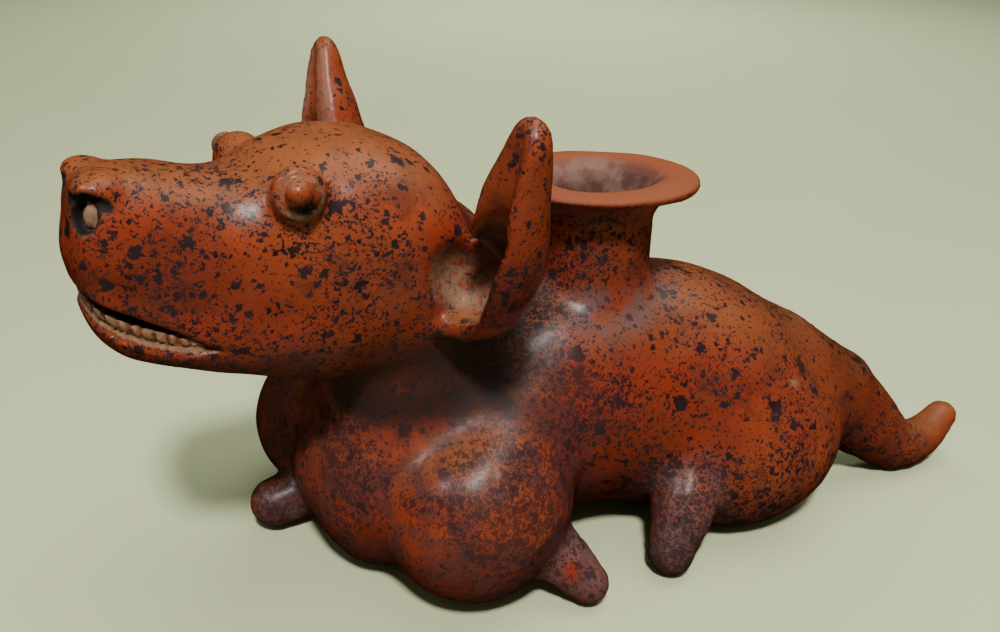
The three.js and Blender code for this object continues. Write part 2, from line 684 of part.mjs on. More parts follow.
// Draws the vertices that cuts leave almost together onto one point, and drops the faces that
// collapse or that then lie back to back
function tidied(solid, grid) {
  const data = solid.getMesh();
  const places = new Map();
  const positions = [];
  const placeOf = [];
  for (let i = 0; i < data.numVert; i += 1) {
    const at = [0, 1, 2].map((c) => Math.round(data.vertProperties[i * data.numProp + c] / grid));
    const key = at.join();
    if (!places.has(key)) {
      places.set(key, positions.length / 3);
      positions.push(...at.map((v) => v * grid));
    }
    placeOf.push(places.get(key));
  }
  const faces = new Map();
  for (let i = 0; i < data.triVerts.length; i += 3) {
    const face = [0, 1, 2].map((c) => placeOf[data.triVerts[i + c]]);
    if (new Set(face).size < 3) continue;
    const first = face.indexOf(Math.min(...face));
    const turnedFace = [0, 1, 2].map((c) => face[(first + c) % 3]);
    const opposite = [turnedFace[0], turnedFace[2], turnedFace[1]].join();
    if (faces.has(opposite)) faces.delete(opposite);
    else faces.set(turnedFace.join(), turnedFace);
  }
  const mesh = new wasm.Mesh({
    numProp: 3,
    vertProperties: new Float32Array(positions),
    triVerts: new Uint32Array([...faces.values()].flat()),
  });
  return new wasm.Manifold(mesh);
}

function meshOfSolid(solid, name, material) {
  const data = solid.getMesh();
  const geometry = new THREE.BufferGeometry();
  const stride = data.numProp;
  const positions = new Float32Array(data.numVert * 3);
  for (let i = 0; i < data.numVert; i += 1)
    positions.set(data.vertProperties.subarray(i * stride, i * stride + 3), i * 3);
  geometry.setAttribute("position", new THREE.BufferAttribute(positions, 3));
  geometry.setIndex(new THREE.BufferAttribute(new Uint32Array(data.triVerts), 1));
  geometry.computeVertexNormals();
  const mesh = new THREE.Mesh(geometry, material);
  mesh.name = name;
  return mesh;
}

const slip = new THREE.MeshStandardMaterial({ color: 0x9c3d1c, roughness: 0.38, metalness: 0 });
const dog = meshOfSolid(vessel(), "colima_dog_vessel", slip);
dog.geometry.computeBoundingBox();
const footprint = dog.geometry.boundingBox;
const middle = footprint.getCenter(new THREE.Vector3());
dog.geometry.translate(-middle.x, -middle.y, -footprint.min.z);

const root = new THREE.Group();
root.name = "colima_dog";
root.add(dog);

export default root;
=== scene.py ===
import math

import bpy
import numpy as np
from mathutils import Matrix, Vector


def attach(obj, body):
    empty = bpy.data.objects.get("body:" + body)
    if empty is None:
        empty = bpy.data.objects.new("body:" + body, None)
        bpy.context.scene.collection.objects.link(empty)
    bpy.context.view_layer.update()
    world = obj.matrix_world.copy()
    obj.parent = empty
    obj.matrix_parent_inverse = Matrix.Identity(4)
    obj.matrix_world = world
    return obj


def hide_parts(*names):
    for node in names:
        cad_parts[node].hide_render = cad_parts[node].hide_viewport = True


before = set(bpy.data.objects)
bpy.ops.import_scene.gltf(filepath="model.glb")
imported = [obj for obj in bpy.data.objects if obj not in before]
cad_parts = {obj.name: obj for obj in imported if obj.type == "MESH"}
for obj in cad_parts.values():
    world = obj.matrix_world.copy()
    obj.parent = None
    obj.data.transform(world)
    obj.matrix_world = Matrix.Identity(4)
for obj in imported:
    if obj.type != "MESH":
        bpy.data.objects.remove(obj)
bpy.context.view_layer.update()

# The dog is modelled in millimetres: x runs from nose to tail, z is up, the dog's left faces -y.
# The object's origin is the middle of its footprint, which lies here in that drawing.
ORIGIN = np.array([132.49, -1.39, 0.0])
WALL = 7.0

# Outlines of the large masses: height of top and bottom and half the width, along x
TRUNK = dict(
    top=[
        (-10, 62), (10, 76), (40, 90), (70, 106), (100, 116), (130, 120),
        (158, 118), (181, 113), (205, 102), (225, 88), (250, 67), (270, 48),
    ],
    bottom=[
        (-10, 16), (18, -3), (60, -4), (95, 0), (125, 7), (152, 0), (185, -4), (240, -4), (270, 14),
    ],
    side=[
        (-10, 34), (20, 46), (60, 50), (100, 47), (150, 49), (190, 55), (220, 50), (250, 33), (270, 20),
    ],
    power=2.1, front=-5, back=264, front_round=44, back_round=24,
)
NECK_AXIS = (52.0, 0.0)
HEAD_TURN = math.radians(14.3)
SKULL = dict(
    top=[
        (-76, 179.5), (-68, 183.5), (-50, 183.5), (-32, 178.5), (-20, 178.5), (-7, 184.5),
        (6, 187.4), (18, 187.4), (34, 184), (50, 174), (64, 152), (78, 118),
    ],
    bottom=[(-76, 141), (-68, 135), (-40, 120), (-20, 110), (0, 102), (30, 98), (78, 98)],
    side=[(-76, 19), (-60, 22), (-30, 27), (-5, 35), (20, 42), (45, 43), (64, 34), (78, 20)],
    power=2.6, front=-73, back=69, front_round=11, back_round=26,
)
JAW = dict(
    top=[(-79, 150), (-40, 134), (0, 128)],
    bottom=[(-79, 131), (-70, 123), (-50, 114), (-20, 104), (5, 98)],
    side=[(-79, 17), (-50, 21), (-20, 26), (5, 30)],
    power=2.4, front=-71, back=12, front_round=11, back_round=20,
)
UPPER_LIP = [
    (-78, 147.5), (-71, 144.8), (-63, 140), (-54, 134.6), (-45, 129.4), (-38, 124.6), (-34, 122.4),
]
LOWER_LIP = [
    (-78, 140.4), (-72, 137), (-63, 130.8), (-54, 125.9), (-45, 123.2), (-38, 123.6), (-34, 124),
]

# Ovals are (middle, half sizes), and rods are chains of round joints (x, y, z, radius)
MUZZLE_FRONT = ((-61.5, 0, 158), (14.6, 21, 14))
NECK = [(56, 0, 40, 44), (52, 0, 88, 41), (47, 0, 124, 36)]
TAIL_ROOT = [(228, -3, 56, 27), (259, -9, 44, 22), (278, -15, 27, 17)]
TAIL = [
    (248, -6, 46, 18), (263, -10, 39, 19), (279, -15, 25, 17.5), (294, -20, 14, 13.5),
    (308, -20, 11.5, 11.5), (320, -17, 14, 10), (330, -14, 20, 8),
]
NEAR_KNEE = ((64, -45, 36), (37, 33, 37))
NEAR_ARM = [(84, -34, 72, 20), (76, -42, 48, 24)]
NEAR_PAW = [(82, -46, 30, 14), (94, -57, 20, 12.5), (106, -69, 9.5, 8.5)]
FAR_KNEE = ((18, 40, 38), (34, 32, 36))
FAR_ARM = [(56, 36, 70, 22), (36, 40, 48, 26)]
FAR_PAW = [(18, 22, 20, 12), (4, 19, 15, 12.5), (-11, 16, 12, 11.5)]
HAUNCH = ((196, 32, 36), (47, 31, 38))
HIND_PAW = [(166, 40, 40, 14), (158, 50, 28, 14.5), (147, 62, 10, 10)]
EAR_BOWL = ((45.5, 49, 141.5), (11.5, 12, 13.5))
EAR_BACK = [(60, 40, 132, 9), (58, 49, 148, 7)]
EAR_LOBE = [
    (57.3, 60, 137.3, 6), (53.8, 57.5, 131, 6.5), (49.8, 53.5, 126.7, 6),
    (45, 48.5, 122.8, 5.2), (40.4, 43, 121.8, 4),
]
FAR_EAR_LEAN = 4
FAR_EAR_WIDE = 0.14
SHOULDER_CREASE = [
    (40, -47, 80, 0.2), (60, -53, 86, 0.3), (80, -54, 90, 0.5), (97, -59, 74, 1.6), (107, -62, 50, 0.5),
]
SPOUT_AXIS = (128.0, 0.0)
BORE_RADIUS = 18
BORE_BOTTOM = 96


# Smooth curve through points (x, y), level beyond its ends
def outline(points):
    xs = np.array([p[0] for p in points], float)
    ys = np.array([p[1] for p in points], float)
    low = np.maximum(np.arange(len(xs)) - 1, 0)
    high = np.minimum(np.arange(len(xs)) + 1, len(xs) - 1)
    slope = (ys[high] - ys[low]) / (xs[high] - xs[low])

    def at(x):
        x = np.clip(x, xs[0], xs[-1])
        i = np.clip(np.searchsorted(xs, x, side="right") - 1, 0, len(xs) - 2)
        width = xs[i + 1] - xs[i]
        t = (x - xs[i]) / width
        rise = t * t * (3 - 2 * t)
        enter = t * (1 - t) ** 2 * width * slope[i]
        leave = t * t * (t - 1) * width * slope[i + 1]
        return ys[i] * (1 - rise) + ys[i + 1] * rise + enter + leave

    return at


# The lesser of two fields, with their meeting rounded over a reach in millimetres
def smin(a, b, reach):
    h = np.maximum(reach - np.abs(a - b), 0) / reach
    return np.minimum(a, b) - h * h * reach / 4


def smax(a, b, reach):
    return -smin(-a, -b, reach)


def step(low, high, x):
    t = np.clip((x - low) / (high - low), 0, 1)
    return t * t * (3 - 2 * t)


# Fields give about the distance from places p to a surface, negative inside
def ellipsoid(p, middle, size):
    q = p - np.array(middle, float)
    s = np.array(size, float)
    near = np.sqrt(((q / s) ** 2).sum(1))
    far = np.sqrt(((q / s**2) ** 2).sum(1))
    return near * (near - 1) / np.maximum(far, 1e-6)


def rods(p, joints):
    best = np.full(len(p), 1e3)
    for a, b in zip(joints, joints[1:]):
        a, b = np.array(a, float), np.array(b, float)
        along = b[:3] - a[:3]
        t = np.clip((p - a[:3]) @ along / (along @ along), 0, 1)
        gap = np.linalg.norm(p - a[:3] - t[:, None] * along, axis=1)
        best = np.minimum(best, gap - (a[3] + (b[3] - a[3]) * t))
    return best


# The same joints, with rounder bends between them
def rounded(joints, count):
    j = np.array(joints, float)
    t = np.linspace(0, 1, len(j))
    curves = [outline(list(zip(t, j[:, c]))) for c in range(j.shape[1])]
    return [tuple(float(c(s)) for c in curves) for s in np.linspace(0, 1, count)]


# A mass with rounded-square sections between its outlines
def hull(shape):
    top, bottom, side = outline(shape["top"]), outline(shape["bottom"]), outline(shape["side"])
    n = shape["power"]

    def field(p):
        x = p[:, 0]
        half_width = side(x)
        upper, lower = top(x), bottom(x)
        half_height = (upper - lower) / 2
        across = np.abs(p[:, 1]) / half_width
        rise = np.abs(p[:, 2] - (upper + lower) / 2) / half_height
        d = ((across**n + rise**n) ** (1 / n) - 1) * np.minimum(half_width, half_height)
        d = smax(d, shape["front"] - x, shape["front_round"])
        return smax(d, x - shape["back"], shape["back_round"])

    return field


trunk, skull, jaw = hull(TRUNK), hull(SKULL), hull(JAW)
upper_lip, lower_lip = outline(UPPER_LIP), outline(LOWER_LIP)


def in_head(p):
    dx, dy = p[:, 0] - NECK_AXIS[0], p[:, 1] - NECK_AXIS[1]
    c, s = math.cos(HEAD_TURN), math.sin(HEAD_TURN)
    return np.stack([dx * c + dy * s + NECK_AXIS[0], dy * c - dx * s, p[:, 2]], 1)


def mirrored(joints):
    return [(j[0], -j[1], *j[2:]) for j in joints]


# Gentle unevenness of a surface that was shaped and burnished by hand, in millimetres
def uneven(p):
    x, y, z = p.T
    low = np.sin(x * 0.071 + y * 0.043 + 1.3) * np.sin(y * 0.083 - z * 0.057 + 0.4)
    mid = np.sin(x * 0.163 - z * 0.131 + 2.1) * np.sin(y * 0.171 + x * 0.049 + 4.0)
    mid = mid * np.sin(z * 0.157 + 0.8)
    return 0.55 * low + 0.3 * mid


EYE_MIDDLE = np.array([-7.8, 36.0, 176.0])
FAR_EYE_DROP = 4.0
EYE_OUT = np.array([-0.22, 0.94, 0.26]) / np.linalg.norm([-0.22, 0.94, 0.26])
EYE_MOUND = (EYE_MIDDLE + (0.6, -5.5, -0.6), (9.2, 8.6, 9.6))
EYE_RING_RADIUS = 6.3
EYE_RING_HALF_WIDTH = 0.9
EYE_DISC_RADIUS = 5.5
EYE_DISC_HALF = 3.2
EYE_DENT = (EYE_MIDDLE + EYE_OUT * 3.0 + (0.8, 0, -4.0), (2.8, 1.8, 1.6))
EYE_BOSS = (EYE_MIDDLE + EYE_OUT * 2.2 + (-1.2, 0, 1.8), (4.8, 4.8, 4.8))


# Both sides of the figure, or of its head, laid onto one
def on_one_side(q):
    return np.stack([q[:, 0], np.abs(q[:, 1]), q[:, 2]], 1)


# The far eye sits lower than the near one
def at_eye(q):
    return on_one_side(q) + np.where(q[:, 1] > 0, FAR_EYE_DROP, 0)[:, None] * np.array([0, 0, 1.0])


# Height above the eye's plane, and distance from its axis
def eye_place(q):
    o = at_eye(q) - EYE_MIDDLE
    h = o @ EYE_OUT
    return h, np.linalg.norm(o - h[:, None] * EYE_OUT, axis=1)


NOSE_WING = ((-64.5, 11.5, 179.4), (6, 6.5, 4.6))
NOSE_CREASE = [(-72.6, 9, 177.6, 0.9), (-67.4, 16.3, 178.4, 2.2), (-60.5, 22, 175.2, 0.9)]
NOSTRIL = ((-68.8, 15.2, 173.0), (4.4, 4.8, 5.4))
PLUG = ((-66.4, 14.2, 172.2), (2.5, 2.5, 3.5))
TOOTH_PITCH = 5.0
TOOTH_HEIGHT = 6.9
MOUTH_CORNER = -33
MOUTH_BAND = (105, 160)
SLOT_DEPTH = 11
ROOT_DEPTH = 13
GUM_GROOVE = (1.5, 2.0)  # depth under the skin, and height above the lower lip


# 1 at the nicks between the teeth, which follow the row round the muzzle's front
def tooth_nick(q):
    along = np.abs(q[:, 1]) + 1.2 * np.maximum(q[:, 0] + 68, 0)
    uneven_pitch = along / TOOTH_PITCH + 0.12 * np.sin(along * 0.9)
    return step(0.58, 0.88, np.abs(uneven_pitch % 1 - 0.5) * 2)


def tooth_top(upper, lower):
    return np.minimum(lower + TOOTH_HEIGHT, upper - 1.2)


def head(straight):
    q, eye = on_one_side(straight), at_eye(straight)
    d = smin(skull(q), jaw(q), 12)
    d = smin(d, ellipsoid(eye, *EYE_MOUND), 4)
    d = smin(d, ellipsoid(q, *MUZZLE_FRONT), 4)
    d = smin(d, ellipsoid(q, *NOSE_WING), 5)
    # nostrils: a deep crease under the wing of the nose, and a pit that still holds its plug of clay
    d = smax(d, -rods(q, NOSE_CREASE), 2.4)
    d = smax(d, -ellipsoid(q, *NOSTRIL), 1.6)
    d = smin(d, ellipsoid(q, *PLUG), 0.8)
    # eyes: a clay disc with a boss on it, set in a groove
    h, away = eye_place(straight)
    ring = np.sqrt((away - EYE_RING_RADIUS) ** 2 + h**2) - EYE_RING_HALF_WIDTH
    d = smax(d, -ring, 1.4)
    disc_size = (EYE_DISC_RADIUS, EYE_DISC_HALF, EYE_DISC_RADIUS)
    d = smin(d, ellipsoid(np.stack([away, h, 0 * h], 1), (0, 0, 0), disc_size), 1.0)
    d = smax(d, -ellipsoid(eye, *EYE_DENT), 1.0)
    d = smin(d, ellipsoid(eye, *EYE_BOSS), 1.0)
    # mouth: a slot between the lips, a gum ridge and a row of square teeth that stand close to the lip
    x, z = q[:, 0], q[:, 2]
    upper, lower = upper_lip(x), lower_lip(x)
    i = np.nonzero((x < MOUTH_CORNER) & (z > MOUTH_BAND[0]) & (z < MOUTH_BAND[1]))[0]
    z, upper, lower, skin = z[i], upper[i], lower[i], d[i]
    slot = np.maximum(np.maximum(z - upper, lower - z), -(skin + SLOT_DEPTH))
    cut = smax(skin, -slot, 2.4)
    nick = tooth_nick(q[i])
    teeth = smax(skin + 1.3 + 0.5 * nick, z - tooth_top(upper, lower) + 0.5 * nick, 1.0)
    teeth = np.maximum(np.maximum(teeth, lower + 1.5 - z), -(skin + ROOT_DEPTH))
    teeth = smax(teeth, 0.7 - np.hypot(skin + GUM_GROOVE[0], z - lower - GUM_GROOVE[1]), 0.5)
    gum = smax(skin + 1.0, z - np.minimum(lower + 1.8, upper - 2.4), 0.8)
    gum = np.maximum(np.maximum(gum, lower - 4 - z), -(skin + ROOT_DEPTH))
    d[i] = np.minimum(np.minimum(cut, teeth), gum)
    return d


EAR_ROOT = np.array([50.5, 50.0, 130.0])
EAR_UP = np.array([-0.0265, 0.371, 0.928])
EAR_LENGTH = 77.0
EAR_OPENING = math.radians(68)
EAR_FACING = np.array([-math.sin(EAR_OPENING), math.cos(EAR_OPENING), 0])
EAR_FACING -= EAR_UP * (EAR_FACING @ EAR_UP)
EAR_FACING /= np.linalg.norm(EAR_FACING)
EAR_ACROSS = np.cross(EAR_FACING, EAR_UP)
# A section of the ear is a circle, cut off in front by the plane across the ear's opening
ear_out = outline([
    (-0.16, -2), (0, 0), (0.13, 2), (0.26, 4), (0.4, 4.8), (0.55, 4.6), (0.69, 3.4), (0.9, 2.4),
    (1.08, 1.2),
])
ear_ahead = outline([(-0.16, 0), (0, 1), (0.26, 3), (0.55, 4.5), (0.69, 4), (0.9, 2.4), (1.05, 1)])
ear_radius = outline([
    (-0.16, 7.6), (-0.07, 9), (0.01, 11.6), (0.13, 14.2), (0.26, 15.2), (0.4, 15), (0.55, 14),
    (0.69, 12.4), (0.8, 10.6), (0.9, 8.9), (1.0, 6.9), (1.1, 4.6),
])
ear_face = outline([
    (0, 6.6), (0.13, 8), (0.4, 8.4), (0.55, 7.6), (0.69, 7), (0.8, 6.4), (0.9, 5.4), (1.05, 4),
])
# Across the cup: where its middle lies, half its width, and how deep it goes
cup_middle = outline([(0, -2), (0.3, -2), (0.4, -1), (0.5, 1), (0.6, 2.6), (0.8, 1.6), (1, 1)])
cup_half = outline([
    (0, 9.5), (0.1, 10.4), (0.3, 10.8), (0.4, 10), (0.5, 8.2), (0.6, 6), (0.7, 4.8), (0.85, 3.6), (1, 2),
])
cup_floor = outline([
    (0, -4), (0.16, -6.5), (0.4, -6.5), (0.52, -3), (0.62, 1.4), (0.7, 3.4), (0.85, 3.6), (1, 4.2),
])
EAR_TWIST = math.radians(26.6)
EAR_TIP = 1.07
EAR_FOOT = -0.14


# An ear's own frame: share of its height, place across its opening and out of the opening
def ear_place(q, side):
    lean = FAR_EAR_LEAN if side > 0 else 0
    q = np.stack([q[:, 0] + lean * (1 - step(126, 202, q[:, 2])), q[:, 1] * side, q[:, 2]], 1) - EAR_ROOT
    t = q @ EAR_UP / EAR_LENGTH
    across = q @ EAR_ACROSS - ear_out(t)
    forward = q @ EAR_FACING - ear_ahead(t)
    c, s = math.cos(EAR_TWIST), math.sin(EAR_TWIST)
    return t, across * c + forward * s, forward * c - across * s


# The furrow inside an ear
def ear_cup(q, side):
    t, across, out = ear_place(q, side)
    half = cup_half(t)
    bottom = np.maximum(0.12 - t, 0) * EAR_LENGTH / 11
    depth = np.minimum(out - cup_floor(t) - half, 0) / half
    return (np.sqrt(((across - cup_middle(t)) / half) ** 2 + depth**2 + bottom**2) - 1) * half


# The cup as far as the ear's opening, cut also from the head behind it
def ear_hollow(q, side):
    t, _, out = ear_place(q, side)
    d = smax(ear_cup(q, side), out - ear_face(t) - 1, 3)
    return np.where(q[:, 1] * side > 20, d, 60)


def ear(q, side):
    t, across, out = ear_place(q, side)
    wide = 1 + FAR_EAR_WIDE * step(0.9, 0.5, t) if side > 0 else 1
    d = np.hypot(across, out) - ear_radius(t) * wide
    d = smax(d, out - ear_face(t), 5)
    d = smax(d, (t - EAR_TIP) * EAR_LENGTH, 8)
    d = smax(d, (EAR_FOOT - t) * EAR_LENGTH, 14)
    return smax(d, -ear_cup(q, side), 3.2)


SPOUT_NECK_RADIUS = 24
SPOUT_FLARE = (16, 13.0)
SPOUT_FLARE_START = 144


# Points (radius, height) round the section of the spout's wall
def spout_profile():
    outer = [
        (
            SPOUT_NECK_RADIUS + SPOUT_FLARE[0] * (1 - math.cos(turn)),
            SPOUT_FLARE_START + SPOUT_FLARE[1] * math.sin(turn) ** 1.2,
        )
        for turn in np.linspace(0, math.pi / 2, 11)
    ]
    inner = [
        (18, 128), (18.4, 138), (19.2, 146), (20.6, 152.5), (22.8, 157.2), (26, 160.0),
        (30, 161.5), (34.5, 161.8), (38.5, 161.2),
    ]
    rim = [(41.0, 157.8), (41.8, 158.8), (41.4, 159.9), (40.2, 160.7)]
    foot = [(18, 90), (25, 90), (24.6, 122)]
    return np.array(foot + outer + rim + inner[::-1])


SPOUT = spout_profile()
MOUTH_NARROWING = 0.08
MOUTH_TIP = 0.03


# Distance from the spout's axis, and height; its mouth is a little narrow across the dog and tips back
def spout_place(p):
    flare = step(136, 156, p[:, 2])
    aside = p[:, 1] - SPOUT_AXIS[1]
    away = np.hypot(p[:, 0] - SPOUT_AXIS[0], aside * (1 + MOUTH_NARROWING * flare))
    return away, p[:, 2] + MOUTH_TIP * aside * flare


def spout(p):
    at = np.stack(spout_place(p), 1)
    best = np.full(len(p), 1e6)
    odd = np.zeros(len(p), bool)
    for a, b in zip(SPOUT, np.roll(SPOUT, -1, 0)):
        edge, w = b - a, at - a
        t = np.clip(w @ edge / (edge @ edge), 0, 1)
        best = np.minimum(best, ((w - t[:, None] * edge) ** 2).sum(1))
        crosses = (a[1] > at[:, 1]) != (b[1] > at[:, 1])
        rise = np.where(abs(edge[1]) < 1e-9, 1e-9, edge[1])
        odd ^= crosses & (at[:, 0] < a[0] + edge[0] * (at[:, 1] - a[1]) / rise)
    return np.where(odd, -1, 1) * np.sqrt(best)


def within(low, high):
    return np.array(low, float), np.array(high, float)


def foreleg(knee, arm):
    return lambda p: smin(ellipsoid(p, *knee), rods(p, arm), 20)


def limb(joints, count):
    smooth = rounded(joints, count)
    return lambda p: rods(p, smooth)


# Masses that are joined one after another: field, the box that it fills, and how softly it joins
MASSES = [
    (trunk, *within((-12, -60, -8), (272, 60, 124)), 8),
    (foreleg(NEAR_KNEE, NEAR_ARM), *within((26, -80, -4), (104, 0, 94)), 10),
    (foreleg(FAR_KNEE, FAR_ARM), *within((-18, 0, -4), (80, 80, 94)), 10),
    (lambda p: ellipsoid(on_one_side(p), *HAUNCH), *within((148, -66, -4), (244, 66, 76)), 10),
    (lambda p: rods(p, NECK), *within((8, -46, 0), (102, 46, 162)), 8),
    (lambda p: head(in_head(p)), *within((-84, -66, 92), (124, 60, 194)), 12),
    (lambda p: rods(p, TAIL_ROOT), *within((200, -34, 8), (294, 28, 86)), 16),
    (limb(TAIL, 13), *within((230, -38, -2), (340, 14, 66)), 4),
    (limb(NEAR_PAW, 7), *within((68, -80, 0), (116, -32, 46)), 4),
    (limb(FAR_PAW, 7), *within((-24, 4, 0), (32, 36, 34)), 4),
    (limb(HIND_PAW, 7), *within((136, 26, 0), (182, 74, 56)), 5),
    (limb(mirrored(HIND_PAW), 7), *within((136, -74, 0), (182, -26, 56)), 5),
    (lambda p: ear(in_head(p), 1), *within((16, 20, 110), (90, 92, 210)), 6),
    (lambda p: ear(in_head(p), -1), *within((16, -96, 110), (100, -30, 210)), 6),
]
CLEAR = 26.0  # how far outside its box a mass still counts
CREASE = rounded(SHOULDER_CREASE, 11)


def figure(p):
    d = np.full(len(p), 80.0)
    for field, low, high, reach in MASSES:
        near = np.nonzero(np.all((p > low - CLEAR) & (p < high + CLEAR), axis=1))[0]
        d[near] = smin(d[near], field(p[near]), reach)
    # the ears' lobes curl under onto the cheeks, round a scoop, and their backs run into the head
    near = np.nonzero((p[:, 0] < 90) & (p[:, 0] > -10) & (p[:, 2] > 100))[0]
    straight = in_head(p[near])
    q = on_one_side(straight)
    d[near] = smin(smin(d[near], rods(q, EAR_BACK), 12), rods(q, EAR_LOBE), 5)
    d[near] = smax(d[near], -np.minimum(*[ear_hollow(straight, side) for side in (1, -1)]), 3.2)
    d[near] = smax(d[near], -ellipsoid(q, *EAR_BOWL), 5)
    near = np.nonzero((p[:, 0] < 140) & (p[:, 1] < 4))[0]
    d[near] = smax(d[near], -rods(p[near], CREASE), 12)
    # the spout, with its bore open down into the hollow
    near = np.nonzero((p[:, 2] > 84) & (np.hypot(p[:, 0] - SPOUT_AXIS[0], p[:, 1]) < 70))[0]
    bore = np.maximum(spout_place(p[near])[0] - BORE_RADIUS, BORE_BOTTOM - p[near, 2])
    d[near] = np.maximum(smin(d[near], spout(p[near]), 7), -bore)
    d += uneven(p)
    return np.maximum(d, -p[:, 2])


# The empty inside: the large masses, drawn in by the wall
def cavity(p):
    d = smin(trunk(p), rods(p, NECK), 8)
    bulges = np.minimum(ellipsoid(p, *NEAR_KNEE), ellipsoid(p, *FAR_KNEE))
    bulges = np.minimum(bulges, ellipsoid(on_one_side(p), *HAUNCH))
    d = smin(smin(d, bulges, 8), skull(in_head(p)), 14)
    return np.maximum(d + WALL, WALL - p[:, 2])


# Grid lines over stretches (from, to, step)
def grid_lines(stretches):
    lines = [np.array([stretches[0][0]], float)]
    for start, end, size in stretches:
        count = max(round((end - start) / size), 1)
        lines.append(np.linspace(start, end, count + 1)[1:])
    return np.concatenate(lines)


def all_places(lines):
    return np.stack(np.meshgrid(*lines, indexing="ij"), -1).reshape(-1, 3)


# Field values on the grid; blocks of cells that lie clear of the surface are worked out once
def sample(field, lines, block=8):
    shape = [len(line) for line in lines]
    starts = [np.arange(0, n, block) for n in shape]
    ends = [np.minimum(s + block, n) - 1 for s, n in zip(starts, shape)]
    low = [line[s] for line, s in zip(lines, starts)]
    high = [line[e] for line, e in zip(lines, ends)]
    middle = all_places([(a + b) / 2 for a, b in zip(low, high)])
    half = all_places([(b - a) / 2 for a, b in zip(low, high)])
    centre = field(middle)
    near = np.abs(centre) < np.linalg.norm(half, axis=1) * 1.5 + 6
    counts = [len(s) for s in starts]
    spread = centre.reshape(counts)
    mask = near.reshape(counts)
    for axis, n in enumerate(shape):
        spread = np.repeat(spread, block, axis=axis).take(range(n), axis=axis)
        mask = np.repeat(mask, block, axis=axis).take(range(n), axis=axis)
    values = spread.copy()
    spots = np.nonzero(mask)
    for i in range(0, len(spots[0]), 200000):
        part = tuple(s[i:i + 200000] for s in spots)
        values[part] = field(np.stack([line[s] for line, s in zip(lines, part)], 1))
    return values


# Where a grid face is inside and outside by turns at its corners, one outside corner is taken in,
# so that no two sheets of the mesh share an edge.
def join_checkers(v):
    for _ in range(20):
        found = False
        for a in range(3):
            b = (a + 1) % 3
            views = []
            for da, db in ((0, 0), (1, 0), (1, 1), (0, 1)):
                cut = [slice(None)] * 3
                cut[a] = slice(da, v.shape[a] - 1 + da)
                cut[b] = slice(db, v.shape[b] - 1 + db)
                views.append(tuple(cut))
            s = [v[c] < 0 for c in views]
            bad = (s[0] == s[2]) & (s[1] == s[3]) & (s[0] != s[1])
            if not bad.any():
                continue
            found = True
            for c, inside in zip(views, s):
                other = s[1] if inside is s[0] or inside is s[2] else s[0]
                sub = v[c]
                sub[bad & ~inside & other] = -1e-3
        if not found:
            return


# Air that no way leads to from outside is filled
def fill_bubbles(v):
    air = v >= 0
    reached = v > 4
    before = 0
    while reached.sum() != before:
        before = reached.sum()
        for axis in range(3):
            for shift in (1, -1):
                reached |= air & np.roll(reached, shift, axis)
    v[air & ~reached] = -1e-3


# For each cell that the surface crosses, the mean of the places where it cuts the cell's edges
def crossing_places(v, lines, active):
    total = np.zeros((len(active[0]), 3))
    crossings = np.zeros(len(active[0]))
    for axis in range(3):
        for a in (0, 1):
            for b in (0, 1):
                start = [s.copy() for s in active]
                start[(axis + 1) % 3] += a
                start[(axis + 2) % 3] += b
                end = [s.copy() for s in start]
                end[axis] += 1
                v0, v1 = v[tuple(start)], v[tuple(end)]
                hit = (v0 < 0) != (v1 < 0)
                t = np.where(hit, v0 / np.where(hit, v0 - v1, 1), 0)
                for c in range(3):
                    at = lines[c][start[c]] * (1 - t) + lines[c][end[c]] * t
                    total[:, c] += np.where(hit, at, 0)
                crossings += hit
    return total / crossings[:, None]


# Places moved down the field's slope onto the surface, each within its own cell
def settled(points, field, low, high, rounds=3, nudge=0.04):
    margin = (high - low) * 0.05
    for _ in range(rounds):
        value = field(points)
        slope = np.zeros_like(points)
        for c in range(3):
            shift = np.zeros(3)
            shift[c] = nudge
            slope[:, c] = (field(points + shift) - field(points - shift)) / (2 * nudge)
        steep = np.maximum((slope**2).sum(1), 0.08)
        points = np.clip(points - (value / steep)[:, None] * slope, low + margin, high - margin)
    return points


# A quad, facing outward, round each grid edge along one axis that the surface crosses
def quads_round(axis, inside, number):
    u, w = (axis + 1) % 3, (axis + 2) % 3
    a = [slice(None)] * 3
    b = [slice(None)] * 3
    a[axis], b[axis] = slice(0, -1), slice(1, None)
    spots = np.stack(np.nonzero(inside[tuple(a)] != inside[tuple(b)]), 1)
    spots = spots[(spots[:, u] > 0) & (spots[:, w] > 0)]
    spots = spots[(spots[:, u] < number.shape[u]) & (spots[:, w] < number.shape[w])]
    ring = []
    for du, dw in ((0, 0), (-1, 0), (-1, -1), (0, -1)):
        cell = spots.copy()
        cell[:, u] += du
        cell[:, w] += dw
        ring.append(number[tuple(cell.T)])
    ring = np.stack(ring, 1)
    out = inside[tuple(spots.T)]
    ring[~out] = ring[~out][:, ::-1]
    return ring


# Closed mesh of a field: a vertex in each cell that the surface crosses, and quads between them
def mesh_of(field, lines):
    v = sample(field, lines)
    join_checkers(v)
    fill_bubbles(v)
    inside = v < 0
    count = np.zeros([n - 1 for n in v.shape], np.uint8)
    for di, dj, dk in np.ndindex(2, 2, 2):
        count += inside[di:v.shape[0] - 1 + di, dj:v.shape[1] - 1 + dj, dk:v.shape[2] - 1 + dk]
    active = np.nonzero((count > 0) & (count < 8))
    number = np.full(count.shape, -1, np.int64)
    number[active] = np.arange(len(active[0]))
    low = np.stack([line[s] for line, s in zip(lines, active)], 1)
    high = np.stack([line[s + 1] for line, s in zip(lines, active)], 1)
    points = settled(crossing_places(v, lines, active), field, low, high)
    return points, np.concatenate([quads_round(axis, inside, number) for axis in range(3)])


